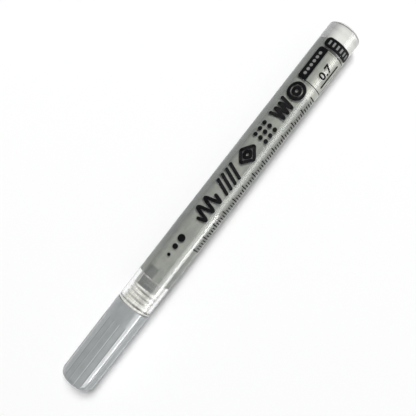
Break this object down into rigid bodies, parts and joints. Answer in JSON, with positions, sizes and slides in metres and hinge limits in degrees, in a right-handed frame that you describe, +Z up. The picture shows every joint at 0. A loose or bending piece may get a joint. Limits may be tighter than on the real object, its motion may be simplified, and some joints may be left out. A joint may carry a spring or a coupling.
{
  "type": "paint marker",
  "caption": "Slim valve-action paint marker: clear barrel filled with silver paint, fluted push-on cap, sprung nib valve and a loose mixing ball, lying on its side.",
  "frame": {"origin": "on the surface that the capped marker lies on, under the middle of its length and width", "axes": "+X along the marker towards the nib and the cap's closed end, +Z up from the surface that it lies on"},
  "size_m": [0.142, 0.012, 0.012],
  "materials": {
    "clear_plastic": "clear moulded plastic, glossy",
    "silver_paint": "wet silver acrylic paint",
    "ball_steel": "polished steel",
    "milky_plastic": "milky translucent plastic",
    "seat_rubber": "pale soft rubber",
    "valve_plastic": "natural white plastic",
    "spring_steel": "drawn steel wire",
    "nib_fibre": "pressed fibre",
    "cap_plastic": "satin silver-grey moulded plastic",
    "liner_plastic": "natural white soft plastic"
  },
  "bodies": {
    "barrel": {"barrel": "clear_plastic", "rear_plug": "clear_plastic", "paint_fill": "silver_paint", "front_section": "milky_plastic", "valve_seat": "seat_rubber", "valve_cage": "valve_plastic", "valve_spring": "spring_steel"},
    "cap": {"cap_shell": "cap_plastic", "cap_liner": "liner_plastic"},
    "writing_tip": {"nib": "nib_fibre", "valve_stem": "valve_plastic"},
    "ball": {"mixing_ball": "ball_steel"}
  },
  "joints": [
    {"name": "cap_pull", "type": "slide", "parent": "barrel", "child": "cap", "axis": [1, 0, 0], "range_m": [0, 0.035]},
    {"name": "nib_press", "type": "slide", "parent": "barrel", "child": "writing_tip", "axis": [-1, 0, 0], "range_m": [0, 0.0015], "stiffness_N_per_m": 400, "springref_m": -0.002, "deforming": ["valve_spring"]},
    {"name": "ball_run", "type": "slide", "parent": "barrel", "child": "ball", "axis": [1, 0, 0], "range_m": [-0.0456, 0.0456]}
  ]
}
